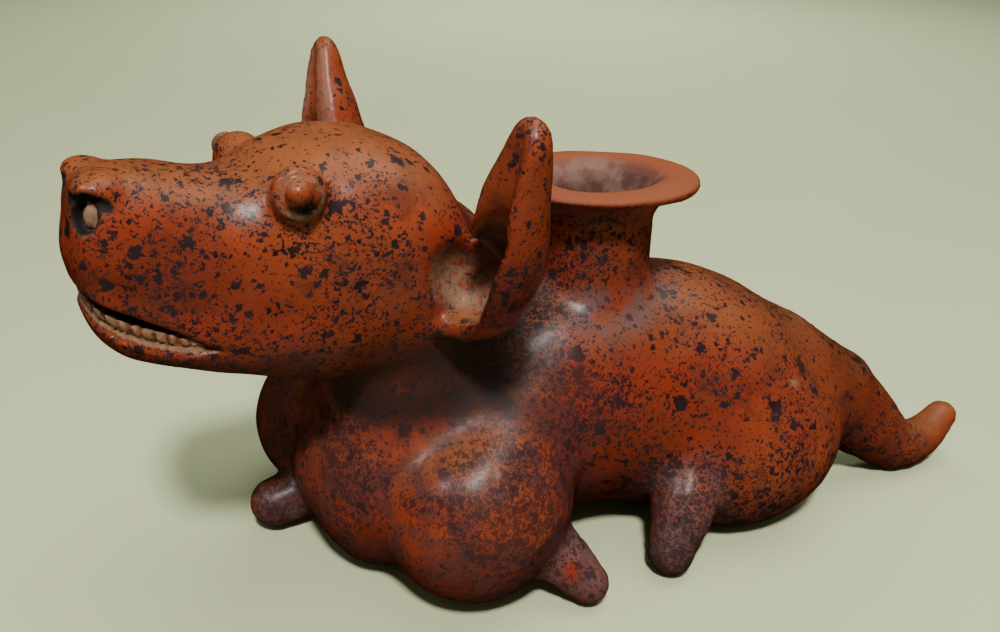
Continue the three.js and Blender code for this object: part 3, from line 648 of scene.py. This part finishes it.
def object_of(name, points, faces):
    mesh = bpy.data.meshes.new(name)
    mesh.vertices.add(len(points))
    mesh.vertices.foreach_set("co", ((points - ORIGIN) * 0.001).astype(np.float32).ravel())
    mesh.loops.add(faces.size)
    mesh.loops.foreach_set("vertex_index", faces.astype(np.int32).ravel())
    mesh.polygons.add(len(faces))
    mesh.polygons.foreach_set("loop_start", np.arange(0, faces.size, faces.shape[1], dtype=np.int32))
    mesh.update(calc_edges=True)
    mesh.validate()
    obj = bpy.data.objects.new(name, mesh)
    bpy.context.scene.collection.objects.link(obj)
    return obj


def places_of(mesh):
    co = np.zeros(len(mesh.vertices) * 3, np.float32)
    mesh.vertices.foreach_get("co", co)
    return co.reshape(-1, 3).astype(float) * 1000 + ORIGIN


outer = object_of("outer", *mesh_of(figure, [
    grid_lines([(-80, -34, 0.9), (-34, 4, 1.3), (4, 84, 1.7), (84, 174, 2.2), (174, 344, 3.8)]),
    grid_lines([(-90, -46, 2.4), (-46, -30, 1.25), (-30, 30, 1.4), (30, 46, 1.7), (46, 90, 2.5)]),
    grid_lines([(-4, 100, 3.6), (100, 118, 2.0), (118, 152, 0.95), (152, 186, 1.3), (186, 210, 1.8)]),
]))
hollow = object_of("hollow", *mesh_of(cavity, [
    grid_lines([(-80, 290, 6)]), grid_lines([(-84, 84, 6)]), grid_lines([(-2, 200, 6)]),
]))

cut = outer.modifiers.new("cut", "BOOLEAN")
cut.operation = "DIFFERENCE"
cut.solver = "MANIFOLD"
cut.object = hollow
bpy.context.view_layer.update()
evaluated = outer.evaluated_get(bpy.context.evaluated_depsgraph_get())
clay = bpy.data.meshes.new_from_object(evaluated)
bpy.data.objects.remove(outer)
bpy.data.objects.remove(hollow)
dog = bpy.data.objects.new("dog_figure", clay)
bpy.context.scene.collection.objects.link(dog)
clay.shade_smooth()

# Regions of the surface, which the clay's material reads. P is in the figure's frame, Q in the
# head's, and A is Q with both sides laid onto one. Their skin lies where a form's field is LUMPS.
P = places_of(clay)
Q = in_head(P)
A = on_one_side(Q)
LUMPS = uneven(P)
HEAD_REGION = ((-5, 0, 140), (82, 62, 60))
CHEEK = ((18, 126), (34, 20))
BROW = ((-27, 172), (9, 12))
SADDLE = ((76, -46, 95), 16.0)
PALE_CHIP = (206, -47, 77)
DARK_SCAR = (214, -41, 80)
TAIL_TIP = (296, 312)


def keep(name, values):
    attribute = clay.attributes.new(name, "FLOAT", "POINT")
    attribute.data.foreach_set("value", np.clip(values, 0, 1).astype(np.float32))


# 1 in the middle of an oval in the head's side view, fading outward
def patch_on_head(middle, size):
    ahead, rise = (A[:, 0] - middle[0]) / size[0], (A[:, 2] - middle[1]) / size[1]
    return np.exp(-(ahead**2 + rise**2)) * on_head


def most(*masks):
    return np.maximum.reduce(masks)


x, y, z = P.T
on_head = step(0, -4, ellipsoid(Q, *HEAD_REGION))

# eyes
eye_height, eye_away = eye_place(Q)
near_eye = step(14, 8, np.abs(eye_height)) * on_head
eye_ring = near_eye * np.exp(-(((eye_away - EYE_RING_RADIUS - 0.3) / 0.9) ** 2))
eye_dent = near_eye * step(1.6, 0.4, ellipsoid(at_eye(Q), *EYE_DENT) - LUMPS)

# ears: dust low in the bowl, dark above it, and dust on the far ear's face
cup = np.minimum(*[ear_hollow(Q, side) for side in (1, -1)]) - LUMPS
bowl = ellipsoid(A, *EAR_BOWL) - LUMPS
in_cup = most(step(1.4, 0.3, cup) * step(180, 172, A[:, 2]), 0.8 * step(2.0, 0.4, bowl))
cup_depth = A[:, 2] + 0.9 * (A[:, 0] - 46)
cup_low = in_cup * step(154, 140, cup_depth)
cup_dark = in_cup * step(140, 154, cup_depth) * step(176, 164, A[:, 2])
far_share, _, far_out = ear_place(Q, 1)
far_face = (Q[:, 1] > 0) * step(0.45, 0.6, far_share) * step(5, 3, np.abs(ear(Q, 1)))
far_face *= step(ear_face(far_share) - 3.5, ear_face(far_share) - 1.5, far_out)
ears = np.minimum(*[ear(Q, side) for side in (1, -1)])
ear_top = step(3, 0, np.abs(ears)) * step(150, 180, A[:, 2]) * (A[:, 0] > 30)

# nostrils and mouth
plug = step(0.75, 0.45, ellipsoid(A, *PLUG) + LUMPS)
nostril = np.minimum(ellipsoid(A, *NOSTRIL), rods(A, NOSE_CREASE) - 0.2) - LUMPS
nostril = step(1.5, 0.8, nostril) * (1 - plug)
upper, lower = upper_lip(A[:, 0]), lower_lip(A[:, 0])
skin = smin(skull(A), jaw(A), 12) + LUMPS
in_mouth = (A[:, 0] < MOUTH_CORNER - 1) * (A[:, 2] < upper + 0.4) * (A[:, 2] > lower + 0.1)
in_mouth = in_mouth * (skin > -12) * step(-0.5, -0.9, skin)
row_top = tooth_top(upper, lower)
teeth_zone = in_mouth * step(row_top + 0.5, row_top - 0.1, A[:, 2]) * step(-4.2, -3.2, skin)
groove = np.exp(-(((A[:, 2] - lower - GUM_GROOVE[1]) / 0.42) ** 2))
groove += step(0.05, 0.4, tooth_nick(A)) * step(lower + 2.2, lower + 3, A[:, 2])
teeth = teeth_zone * (1 - 0.85 * np.clip(groove, 0, 1))

# body
chip = step(2.4, 1.4, np.linalg.norm(P - PALE_CHIP, axis=1))
scar = step(3.8, 2.8, np.abs(P - DARK_SCAR).max(1))
# painted shade: the near side of the neck's front under the head and ear, which shade it, is darkened in
# the colour
neck_shade = step(73, 80, z - 0.12 * (x - 20)) * step(126, 116, z) * step(92, 74, x)
neck_shade *= step(-6, -20, y) * (1 - step(3, -2, head(Q)))
saddle = np.exp(-((P - SADDLE[0]) ** 2).sum(1) / SADDLE[1] ** 2)
tail_root = step(232, 250, x) * step(300, 276, x)
chest = step(112, 86, z) * step(128, 100, x)
hind_paws = np.minimum(rods(P, HIND_PAW), rods(P, mirrored(HIND_PAW)))
paws = np.minimum.reduce([rods(P, NEAR_PAW), rods(P, FAR_PAW), hind_paws])

# spout: its inside lies above the middle line of its wall
r, spout_height = spout_place(P)
spout_foot = step(40, 31, r) * step(23, 25, r) * step(124, 116, z) * (z > 95)
wall_middle = outline([
    (0, 100), (21, 126), (21.6, 144), (23.4, 150.5), (26, 154.8), (30, 157.6), (35, 159), (40, 159.4),
    (42, 159.6),
])
spout_inside = step(-0.4, 0.5, spout_height + LUMPS - wall_middle(r)) * (r < 42.5) * (z > 100)

normals = np.zeros(len(P) * 3, np.float32)
clay.vertices.foreach_get("normal", normals)
upward = normals.reshape(-1, 3)[:, 2]

# how much of the surface the dark fire clouds and specks take
clouds = 0.22 + 0.3 * chest
clouds += 0.3 * step(60, 30, z) * step(100, 140, x)
clouds += 0.28 * np.exp(-(((x - 100) / 26) ** 2)) * step(70, 100, z) * (y < 0)
clouds += 0.36 * patch_on_head(*CHEEK) + 0.26 * patch_on_head(*BROW)
clouds -= 0.1 * ear_top
clouds -= 0.12 * step(170, 186, z) * on_head
clouds -= 0.1 * step(*TAIL_TIP, x) + 0.1 * in_cup
clouds += 0.25 * step(8, 0, hind_paws)

keep("tan", most(teeth, plug, chip))
# painted shade: the slot between the lips, where there are no teeth, is coloured near black
keep("deep", in_mouth * (1 - teeth_zone))
# painted shade in the nostrils' pits and creases and in the dent under each eye's boss, and a real black
# scar on the haunch
keep("nostril", most(nostril, 0.8 * eye_dent, 0.85 * scar))
keep("cup_dark", cup_dark)
keep("dust", most(cup_low, 0.85 * eye_ring, 0.6 * far_face))
# painted shade on the neck under the head, and the tail's root darkened at half strength
keep("painted_shade_and_darkening", most(neck_shade, 0.5 * tail_root))
keep("matt", most(saddle, neck_shade))
# a purple-grey: ash round the spout's foot, and on the paws and hind legs partly ash and partly a
# painted sheen
keep("ash_and_painted_sheen", most(spout_foot, 0.8 * step(8, 0, paws)))
# painted light on what faces up, and painted shade on what faces down
keep("top", step(0.3, 0.95, upward))
keep("under", step(0.35, -0.5, upward))
keep("spout_inside", spout_inside)
keep("throat", spout_inside * step(31, 22, r))
keep("clouds", clouds)
keep("chest", chest)
keep("clean", step(TAIL_TIP[0] + 4, TAIL_TIP[1] + 2, x))


class Nodes:
    def __init__(self, name):
        self.material = bpy.data.materials.new(name)
        self.material.use_nodes = True
        self.tree = self.material.node_tree
        self.tree.nodes.clear()

    def add(self, kind, inputs=None, **settings):
        node = self.tree.nodes.new(kind)
        for key, value in settings.items():
            setattr(node, key, value)
        for key, value in (inputs or {}).items():
            self.set(node.inputs[key], value)
        return node

    def set(self, socket, value):
        if isinstance(value, bpy.types.NodeSocket):
            self.tree.links.new(value, socket)
        else:
            socket.default_value = value

    def math(self, operation, a, b):
        return self.add("ShaderNodeMath", {0: a, 1: b}, operation=operation).outputs[0]

    def plus(self, a, b):
        return self.math("ADD", a, b)

    def minus(self, a, b):
        return self.math("SUBTRACT", a, b)

    def times(self, a, b):
        return self.math("MULTIPLY", a, b)

    def most(self, a, b):
        return self.math("MAXIMUM", a, b)

    def mix(self, share, a, b):
        node = self.add("ShaderNodeMix", data_type="RGBA", blend_type="MIX")
        self.set(node.inputs["Factor"], share)
        self.set(node.inputs[6], a)
        self.set(node.inputs[7], b)
        return node.outputs[2]

    def ramp(self, value, low, high):
        ends = {0: value, 1: low, 2: high, 3: 0.0, 4: 1.0}
        return self.add("ShaderNodeMapRange", ends, interpolation_type="SMOOTHSTEP").outputs[0]

    def attribute(self, name):
        return self.add("ShaderNodeAttribute", attribute_name=name).outputs["Fac"]

    def place(self):
        return self.add("ShaderNodeTexCoord").outputs["Object"]

    def noise(self, place, scale, detail=2.0, rough=0.5, warp=0.0):
        return self.add("ShaderNodeTexNoise", {
            "Vector": place, "Scale": scale, "Detail": detail, "Roughness": rough, "Distortion": warp,
        })

    def grain(self, *settings):
        return self.noise(*settings).outputs[0]

    def vector(self, operation, inputs):
        return self.add("ShaderNodeVectorMath", inputs, operation=operation).outputs[0]

    def finish(self, colour, rough, specular, normal=None):
        shader = self.add("ShaderNodeBsdfPrincipled", {
            "Base Color": colour, "Roughness": rough, "Specular IOR Level": specular,
        })
        if normal is not None:
            self.set(shader.inputs["Normal"], normal)
        self.set(self.add("ShaderNodeOutputMaterial").inputs[0], shader.outputs[0])
        return self.material


RED = (0.215, 0.026, 0.010, 1)
ORANGE = (0.290, 0.055, 0.018, 1)
DEEP_RED = (0.085, 0.014, 0.010, 1)
PAINTED_TOP_SHEEN = (0.250, 0.135, 0.045, 1)
PAINTED_SHADE_RED = (0.085, 0.010, 0.005, 1)
VEIL = (0.060, 0.022, 0.022, 1)
STREAK = (0.075, 0.026, 0.026, 1)
PAINTED_SHADE_AND_DARKENING = (0.026, 0.009, 0.005, 1)
ASH_AND_PAINTED_SHEEN = (0.110, 0.068, 0.070, 1)
EAR_CUP_DARK = (0.030, 0.012, 0.009, 1)
BLACK = (0.008, 0.007, 0.012, 1)
WORN_BLACK = (0.020, 0.014, 0.019, 1)
DUST = (0.215, 0.145, 0.092, 1)
TAN = (0.17, 0.085, 0.048, 1)
PALE_TAN = (0.27, 0.15, 0.09, 1)
INSIDE = (0.25, 0.062, 0.022, 1)
INSIDE_SMEAR = (0.20, 0.095, 0.060, 1)
THROAT_DARK = (0.09, 0.038, 0.030, 1)
THROAT_PALE = (0.21, 0.125, 0.10, 1)
PIT_SHADE_AND_SCAR_BLACK = (0.010, 0.006, 0.006, 1)
# Specks: cells to the metre, their largest radius in cells, and how readily a cell takes one
SPECKS = [
    (1150.0, 0.46, 1.5), (640.0, 0.44, 1.3), (380.0, 0.42, 0.9), (210.0, 0.40, 0.5), (115.0, 0.32, 0.3),
]
TEAR = 0.0042


def slip_colour(m, place, patch, clouds):
    slip = m.mix(m.ramp(m.grain(place, 15.0, 3.0), 0.42, 0.74), RED, ORANGE)
    height = m.add("ShaderNodeSeparateXYZ", {0: place}).outputs[2]
    # painted light: the slip turns orange from 15 to 20 cm up, making the head's top lighter where the
    # light falls on it
    slip = m.mix(m.times(m.ramp(height, 0.15, 0.20), 0.6), slip, ORANGE)
    slip = m.mix(m.times(m.ramp(patch, 0.48, 0.7), 0.65), slip, DEEP_RED)
    # painted light and shade: a lighter tan sheen on what faces up, where the light falls, and a darker
    # red on what faces down, where shade falls
    slip = m.mix(m.times(m.attribute("top"), 0.34), slip, PAINTED_TOP_SHEEN)
    slip = m.mix(m.times(m.attribute("under"), 0.6), slip, PAINTED_SHADE_RED)
    # a thin purple-brown veil where the clouds gather
    veil = m.times(m.ramp(m.grain(place, 38.0, 4.0, 0.6), 0.42, 0.62), clouds)
    slip = m.mix(m.times(veil, 0.85), slip, VEIL)
    streaks = m.ramp(m.grain(place, 75.0, 5.0, 0.7, 0.8), 0.40, 0.60)
    slip = m.mix(m.times(m.times(streaks, m.attribute("chest")), 0.7), slip, STREAK)
    # painted shade: the neck under the head darkened nearly to black in patches; the tail's root
    # darkened less
    painted_shade_and_darkening = m.times(m.attribute("painted_shade_and_darkening"), m.ramp(patch, 0.15, 0.5))
    slip = m.mix(m.times(painted_shade_and_darkening, 0.85), slip, PAINTED_SHADE_AND_DARKENING)
    # purple-grey: ash at the spout's foot, and a painted sheen mixed with ash on the paws and hind legs
    ash_and_painted_sheen = m.times(m.attribute("ash_and_painted_sheen"), m.ramp(m.grain(place, 90.0, 4.0, 0.6), 0.3, 0.6))
    slip = m.mix(m.times(ash_and_painted_sheen, 0.75), slip, ASH_AND_PAINTED_SHEEN)
    # darker high in the ears' cups
    return m.mix(m.times(m.attribute("cup_dark"), 0.85), slip, EAR_CUP_DARK)


# Black specks with torn, angular edges: the place they are read at is shaken by a fine noise
def speck_share(m, place, clouds):
    shake = m.noise(place, 420.0, 3.0, 0.65).outputs["Color"]
    shaken = m.vector("SUBTRACT", {0: shake, 1: (0.5, 0.5, 0.5)})
    torn = m.vector("ADD", {0: place, 1: m.vector("SCALE", {0: shaken, "Scale": TEAR})})
    spread = m.grain(place, 26.0, 3.0)
    density = m.times(m.plus(clouds, 0.10), m.plus(0.25, m.ramp(spread, 0.34, 0.72)))
    # larger torn flakes of the same black, thick on the chest and the legs
    edge = m.minus(0.735, m.times(clouds, m.times(m.ramp(spread, 0.3, 0.7), 0.26)))
    specks = m.ramp(m.minus(m.grain(torn, 210.0, 5.0, 0.7), edge), 0.0, 0.035)
    for scale, size, share in SPECKS:
        cells = m.add("ShaderNodeTexVoronoi", {"Vector": torn, "Scale": scale}, distance="CHEBYCHEV")
        chance = m.add("ShaderNodeSeparateColor", {0: cells.outputs["Color"]})
        chosen = m.math("LESS_THAN", chance.outputs[0], m.times(density, share))
        radius = m.times(m.plus(chance.outputs[1], 0.25), size)
        inside = m.ramp(m.minus(radius, cells.outputs["Distance"]), -0.03, 0.05)
        specks = m.most(specks, m.times(chosen, inside))
    bare = m.most(m.attribute("tan"), m.attribute("spout_inside"))
    bare = m.most(bare, m.times(m.attribute("clean"), 0.9))
    thin = m.minus(1.0, m.times(m.most(m.attribute("chest"), m.attribute("ash_and_painted_sheen")), 0.25))
    return m.times(m.times(specks, m.minus(1.0, bare)), thin)


def clay_material():
    m = Nodes("burnished_slip")
    place = m.place()
    clouds = m.attribute("clouds")
    patch = m.grain(place, 60.0, 5.0, 0.65)
    fine = m.grain(place, 420.0, 3.0, 0.6)
    specks = speck_share(m, place, clouds)
    black = m.mix(m.ramp(patch, 0.35, 0.6), BLACK, WORN_BLACK)
    colour = m.mix(m.times(specks, 0.94), slip_colour(m, place, patch, clouds), black)

    dust = m.times(m.attribute("dust"), m.ramp(m.grain(place, 330.0, 6.0, 0.75, 0.4), 0.34, 0.58))
    colour = m.mix(m.times(dust, 0.85), colour, DUST)
    colour = m.mix(m.attribute("tan"), colour, m.mix(m.ramp(fine, 0.35, 0.7), TAN, PALE_TAN))
    smear = m.ramp(m.grain(place, 60.0, 4.0, 0.6, 0.6), 0.38, 0.62)
    smear = m.times(smear, m.plus(0.2, m.attribute("throat")))
    throat = m.mix(m.ramp(patch, 0.4, 0.6), THROAT_DARK, THROAT_PALE)
    inside = m.mix(m.attribute("throat"), m.mix(smear, INSIDE, INSIDE_SMEAR), throat)
    colour = m.mix(m.times(m.attribute("spout_inside"), 0.9), colour, inside)
    # near black: painted shade in the mouth, nostrils and eye dents, and the haunch's real black scar
    pit_shade_and_scar = m.most(m.attribute("deep"), m.attribute("nostril"))
    colour = m.mix(pit_shade_and_scar, colour, PIT_SHADE_AND_SCAR_BLACK)

    dull = m.most(dust, m.most(m.attribute("tan"), m.attribute("spout_inside")))
    dull = m.most(m.most(dull, pit_shade_and_scar), m.attribute("matt"))
    rough = m.plus(m.plus(0.24, m.times(patch, 0.16)), m.times(dull, 0.4))
    relief = m.plus(m.times(fine, 0.35), m.times(patch, 0.9))
    relief = m.minus(relief, m.times(specks, 0.2))
    bump = m.add("ShaderNodeBump", {"Strength": 0.22, "Distance": 0.0006, "Height": relief})
    return m.finish(colour, rough, 0.2, bump.outputs[0])


clay.materials.clear()
clay.materials.append(clay_material())
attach(dog, "root")
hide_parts("colima_dog_vessel")


FLOOR_HALF = 6.0


def floor():
    mesh = bpy.data.meshes.new("floor")
    corners = [(-1, -1), (1, -1), (1, 1), (-1, 1)]
    mesh.from_pydata([(a * FLOOR_HALF, b * FLOOR_HALF, 0) for a, b in corners], [], [(0, 1, 2, 3)])
    obj = bpy.data.objects.new("floor", mesh)
    bpy.context.scene.collection.objects.link(obj)
    m = Nodes("pale_floor")
    colour = m.mix(m.grain(m.place(), 9.0, 4.0), (0.535, 0.585, 0.355, 1), (0.57, 0.62, 0.38, 1))
    mesh.materials.append(m.finish(colour, 0.8, 0.15))
    obj.visible_glossy = False


# Round area lamps: one only lights the room, and one only shows as a highlight
def lamp(name, place, size, power, colour, lights=True, mirrored=True, target=(0, 0, 0.06)):
    light = bpy.data.lights.new(name, "AREA")
    light.shape = "DISK"
    light.size = size
    light.energy = power
    light.color = colour
    obj = bpy.data.objects.new(name, light)
    obj.location = place
    obj.rotation_euler = (Vector(target) - Vector(place)).to_track_quat("-Z", "Y").to_euler()
    obj.visible_diffuse = lights
    obj.visible_glossy = mirrored
    bpy.context.scene.collection.objects.link(obj)


def room():
    world = bpy.data.worlds.new("room")
    bpy.context.scene.world = world
    world.use_nodes = True
    background = world.node_tree.nodes["Background"]
    background.inputs[0].default_value = (0.60, 0.64, 0.46, 1)
    background.inputs[1].default_value = 0.18
    world.cycles_visibility.glossy = False


floor()
lamp("ceiling", (-0.30, -0.84, 1.40), 0.2, 30, (1.0, 0.98, 0.94))
lamp("overhead", (0.5, 0.1, 1.8), 1.6, 18, (1.0, 1.0, 0.91))
lamp("backdrop", (0.6, 1.7, 1.3), 1.0, 24, (1.0, 1.0, 0.92), mirrored=False, target=(0.7, 1.9, 0))
lamp("side", (-1.05, -0.32, 1.1), 0.16, 8, (1.0, 0.95, 0.97), lights=False)
room()

CAMERA_PLACE = (-0.15773, -0.32743, 0.26975)
CAMERA_TURN = math.radians(18.88)
CAMERA_PITCH = math.radians(25.93)
CAMERA_ROLL = math.radians(-2.0)
LENS = 32.713
SENSOR = 36


def camera():
    ahead = Vector((math.sin(CAMERA_TURN), math.cos(CAMERA_TURN), 0))
    right = Vector((math.cos(CAMERA_TURN), -math.sin(CAMERA_TURN), 0))
    up = Vector((0, 0, 1))
    forward = ahead * math.cos(CAMERA_PITCH) - up * math.sin(CAMERA_PITCH)
    down = -(up * math.cos(CAMERA_PITCH) + ahead * math.sin(CAMERA_PITCH))
    across = right * math.cos(CAMERA_ROLL) + down * math.sin(CAMERA_ROLL)
    down = down * math.cos(CAMERA_ROLL) - right * math.sin(CAMERA_ROLL)
    data = bpy.data.cameras.new("camera")
    data.lens = LENS
    data.sensor_width = SENSOR
    data.clip_start = 0.01
    obj = bpy.data.objects.new("camera", data)
    turned = Matrix((across, -down, -forward)).transposed().to_4x4()
    obj.matrix_world = Matrix.Translation(CAMERA_PLACE) @ turned
    bpy.context.scene.collection.objects.link(obj)
    bpy.context.scene.camera = obj


camera()
